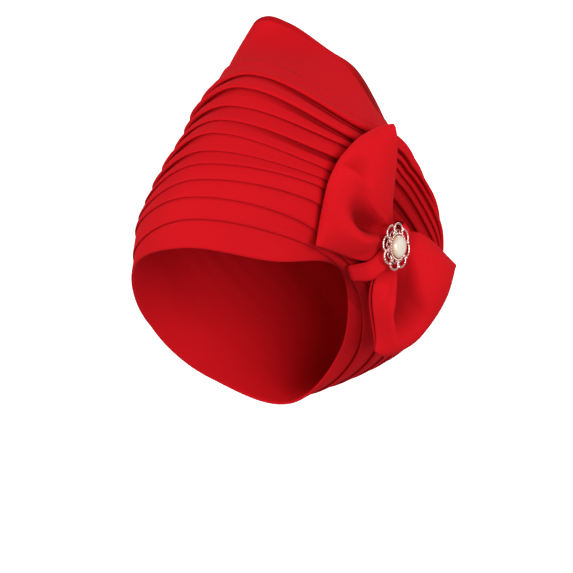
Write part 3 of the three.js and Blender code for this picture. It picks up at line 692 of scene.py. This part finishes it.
rope = np.broadcast_to(WIRE_RADIUS + TWIST_DEPTH * np.sin(loop * TWISTS), (PETALS, LOOP_POINTS))
plain = np.full((PETALS, LOOP_POINTS), LOOP_WIRE)
add_metal(wire(petals(*PETAL, WIRE_HEIGHT), rope), 0, close_along=True)
add_metal(wire(petals(*INNER_LOOP, WIRE_HEIGHT), plain, 6), 0.35, close_along=True)
between = petal_turn[:, 0] + np.pi / PETALS
add_metal(beads(between, *OUTER_BEAD), 0)
add_metal(beads(between, *INNER_BEAD), 0.15)
add_metal(beads(2 * np.pi * np.arange(CUP_BEADS) / CUP_BEADS, *CUP_BEAD), 0.15)
add_metal(turned(CUP[:, :2])[None], CUP[:, 2:])
metal = np.concatenate(metal_points)
brooch_frame = np.stack([np.cos(BROOCH_TURN) * BOW_RIGHT - np.sin(BROOCH_TURN) * BOW_FACING, BOW_UP,
                         np.sin(BROOCH_TURN) * BOW_RIGHT + np.cos(BROOCH_TURN) * BOW_FACING])
metal_mesh = bpy.data.meshes.new("brooch_setting_metal")
metal_mesh.from_pydata(((BROOCH_CENTRE + metal @ brooch_frame) * MM).tolist(), [], metal_faces)
metal_mesh.polygons.foreach_set("use_smooth", np.ones(len(metal_mesh.polygons), bool))
depth = np.concatenate(metal_recess).astype(np.float32)
metal_mesh.attributes.new("recess", "FLOAT", "POINT").data.foreach_set("value", depth)
setting = bpy.data.objects.new("brooch_setting_metal", metal_mesh)
bpy.context.scene.collection.objects.link(setting)
plated, start = new_material("pale_rose_plating")
place = start.node("ShaderNodeTexCoord", output="Object")
recess = start.node("ShaderNodeAttribute", {"attribute_name": "recess"}, output="Fac")
wear = start.node("ShaderNodeTexNoise", inputs={"Vector": place, "Scale": 700.0, "Detail": 3.0})
tarnish = start.math("MINIMUM", recess * 0.8 + (wear - 0.45) * 0.7, 1.0)
tarnish = start.math("MAXIMUM", tarnish, 0.0)
colour = start.node("ShaderNodeMix", {"data_type": "RGBA"},
                    {"Factor": tarnish, 6: (1, 0.74, 0.69, 1), 7: (0.2, 0.09, 0.08, 1)}, 2)
pits = start.node("ShaderNodeBump", inputs={"Strength": 0.2, "Distance": 0.0002, "Height": wear})
shader = start.node("ShaderNodeBsdfPrincipled", inputs={
    "Base Color": colour, "Metallic": 1.0, "Roughness": 0.26 + 0.3 * tarnish, "Normal": pits})
start.node("ShaderNodeOutputMaterial", inputs={"Surface": shader})
setting.data.materials.append(plated)
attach(setting, "root")
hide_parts("brooch_setting")

# Pearl of the brooch: a half-round imitation pearl with a flat back, glued in the cup. Under its clear
# skin a thin pearly coat shifts from cream to a little rose. Towards its foot it is painted darker and
# warmer peach, as painted shade and a painted reflection of the red cloth.
PEARL_RADIUS, PEARL_FOOT, PEARL_GIRDLE, PEARL_RISE = 8.4, 1.4, 2.4, 4.4
# Height where the painted shade and reflection at the pearl's foot begin to fade, and the rise over which
# they fade
FOOT_SHADE_FROM, FOOT_SHADE_RISE = 2.2, 3.4
dome_turn = np.linspace(0, np.pi / 2, 20)
dome = np.stack([PEARL_RADIUS * np.cos(dome_turn), PEARL_GIRDLE + PEARL_RISE * np.sin(dome_turn)], -1)
dome[-1, 0] = 0
foot = [[0, PEARL_FOOT], [PEARL_RADIUS - 0.4, PEARL_FOOT], [PEARL_RADIUS, PEARL_FOOT + 0.4]]
dome = np.concatenate([foot, dome])
pearl_grid = turned(dome, 64)
pearl_index = np.arange(pearl_grid[..., 0].size).reshape(pearl_grid.shape[:2])
pearl_mesh = bpy.data.meshes.new("brooch_pearl_bead")
pearl_mesh.from_pydata(((BROOCH_CENTRE + pearl_grid.reshape(-1, 3) @ brooch_frame) * MM).tolist(), [],
                       grid_faces(np.concatenate([pearl_index, pearl_index[:, :1]], 1)))
pearl_mesh.polygons.foreach_set("use_smooth", np.ones(len(pearl_mesh.polygons), bool))
dome_rise = np.clip((pearl_grid[..., 2] - FOOT_SHADE_FROM) / FOOT_SHADE_RISE, 0, 1).astype(np.float32)
pearl_mesh.attributes.new("dome_rise", "FLOAT", "POINT").data.foreach_set("value", dome_rise.ravel())
pearl = bpy.data.objects.new("brooch_pearl_bead", pearl_mesh)
bpy.context.scene.collection.objects.link(pearl)
nacre, start = new_material("cream_pearl")
place = start.node("ShaderNodeTexCoord", output="Object")
cloud = start.node("ShaderNodeTexNoise", inputs={"Vector": place, "Scale": 160.0, "Detail": 3.0})
rise = start.node("ShaderNodeAttribute", {"attribute_name": "dome_rise"}, output="Fac")
coat = start.node("ShaderNodeMix", {"data_type": "RGBA"},
                  {"Factor": cloud, 6: (0.86, 0.78, 0.66, 1), 7: (0.84, 0.7, 0.58, 1)}, 2)
# Painted shade and reflection: towards the foot the coat gives way to a dark warm peach
coat_and_painted_foot_shade = start.node("ShaderNodeMix", {"data_type": "RGBA"},
                    {"Factor": rise, 6: (0.6, 0.33, 0.17, 1), 7: coat}, 2)
ripple = start.node("ShaderNodeBump", inputs={"Strength": 0.04, "Distance": 0.0004, "Height": cloud})
shader = start.node("ShaderNodeBsdfPrincipled", inputs={
    "Base Color": coat_and_painted_foot_shade, "Roughness": 0.24 + 0.08 * cloud, "Normal": ripple, "Coat Weight": 0.9,
    "Coat Roughness": 0.05, "Sheen Weight": 0.15, "Sheen Tint": (1, 0.85, 0.8, 1)})
start.node("ShaderNodeOutputMaterial", inputs={"Surface": shader})
pearl.data.materials.append(nacre)
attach(pearl, "root")
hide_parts("brooch_pearl")

# Studio: a pale paper sweep that runs level under the wrap and curves up behind it, three soft boxes and
# a white room. The wrap is held up clear of the floor, as it is when it sits on a head.
# The paper, in metres: half its width, where it starts to bend up, the bend's radius, its top and its depth
PAPER_HALF, PAPER_BEND, PAPER_RADIUS, PAPER_TOP, PAPER_DEPTH = 4, 2, 1.5, 5, 0.36
paper_x = np.linspace(-PAPER_HALF, PAPER_HALF, 9)
bend_turn = np.linspace(0, np.pi / 2, 16)[1:]
level_y = np.linspace(-PAPER_HALF, PAPER_BEND, 7)
bend_y = PAPER_BEND + PAPER_RADIUS * np.sin(bend_turn)
bend_z = PAPER_RADIUS * (1 - np.cos(bend_turn))
paper_y = np.concatenate([level_y, bend_y, bend_y[-1:]])
paper_z = np.concatenate([0 * level_y, bend_z, [PAPER_TOP]]) - PAPER_DEPTH
sweep = np.stack(np.broadcast_arrays(paper_x[:, None], paper_y, paper_z), -1)
sweep_index = np.arange(sweep[..., 0].size).reshape(sweep.shape[:2])
floor_mesh = bpy.data.meshes.new("paper_sweep")
floor_mesh.from_pydata(sweep.reshape(-1, 3).tolist(), [], grid_faces(sweep_index[::-1]))
floor_mesh.polygons.foreach_set("use_smooth", np.ones(len(floor_mesh.polygons), bool))
floor = bpy.data.objects.new("paper_sweep", floor_mesh)
bpy.context.scene.collection.objects.link(floor)
paper, start = new_material("pale_paper")
place = start.node("ShaderNodeTexCoord", output="Object")
grain = start.node("ShaderNodeTexNoise", inputs={"Vector": place, "Scale": 30.0, "Detail": 2.0})
tone = start.node("ShaderNodeMix", {"data_type": "RGBA"},
                  {"Factor": grain, 6: (0.9, 0.9, 0.9, 1), 7: (0.88, 0.88, 0.88, 1)}, 2)
shader = start.node("ShaderNodeBsdfPrincipled", inputs={
    "Base Color": tone, "Roughness": 0.9, "Emission Color": (1, 1, 1, 1), "Emission Strength": 0.55})
start.node("ShaderNodeOutputMaterial", inputs={"Surface": shader})
floor.data.materials.append(paper)
floor.visible_diffuse = False
floor.visible_glossy = False

room = bpy.data.worlds.new("white_room")
bpy.context.scene.world = room
room.use_nodes = True
room.node_tree.nodes["Background"].inputs["Color"].default_value = (1, 1, 1, 1)
room.node_tree.nodes["Background"].inputs["Strength"].default_value = 0.36
bpy.context.scene.view_settings.view_transform = "Standard"


def soft_box(name, place, size, watts, aim):
    """Square area light at a place, turned to aim at a point."""
    lamp = bpy.data.lights.new(name, "AREA")
    lamp.size, lamp.energy = size, watts
    made = bpy.data.objects.new(name, lamp)
    bpy.context.scene.collection.objects.link(made)
    made.location = place
    made.rotation_mode = "QUATERNION"
    made.rotation_quaternion = (made.location - type(made.location)(aim)).to_track_quat("Z", "Y")


soft_box("key_box", (-1.6, -1.35, 0.45), 1.2, 28, (0.02, 0, 0.02))
soft_box("fill_box", (1.65, -1.35, 0.05), 1.4, 44, (0.02, 0, 0))
soft_box("back_wash", (0, 2, 2.3), 2.5, 60, (0, 3.2, 0.3))

# Camera: level with the brim, a little to the wearer's left, far enough off to flatten the view.
# Azimuth, elevation and distance, then the picture's width at the wrap and its middle's place aside and down
AZIMUTH, ELEVATION, DISTANCE = np.radians(25), np.radians(3), 2.0
PICTURE_WIDTH, PICTURE_ASIDE, PICTURE_DOWN = 0.42402, 0.0292, 0.0341
camera_right = np.array([np.cos(AZIMUTH), np.sin(AZIMUTH), 0])
camera_back = np.array([np.sin(AZIMUTH) * np.cos(ELEVATION), -np.cos(AZIMUTH) * np.cos(ELEVATION),
                        np.sin(ELEVATION)])
camera_up = np.cross(camera_back, camera_right)
lens = bpy.data.cameras.new("front_left_camera")
lens.sensor_width = 36
lens.lens = lens.sensor_width * DISTANCE / PICTURE_WIDTH
camera = bpy.data.objects.new("front_left_camera", lens)
bpy.context.scene.collection.objects.link(camera)
camera.location = PICTURE_ASIDE * camera_right - PICTURE_DOWN * camera_up + DISTANCE * camera_back
camera.rotation_mode = "QUATERNION"
camera.rotation_quaternion = type(camera.location)(camera_back).to_track_quat("Z", "Y")
bpy.context.scene.camera = camera
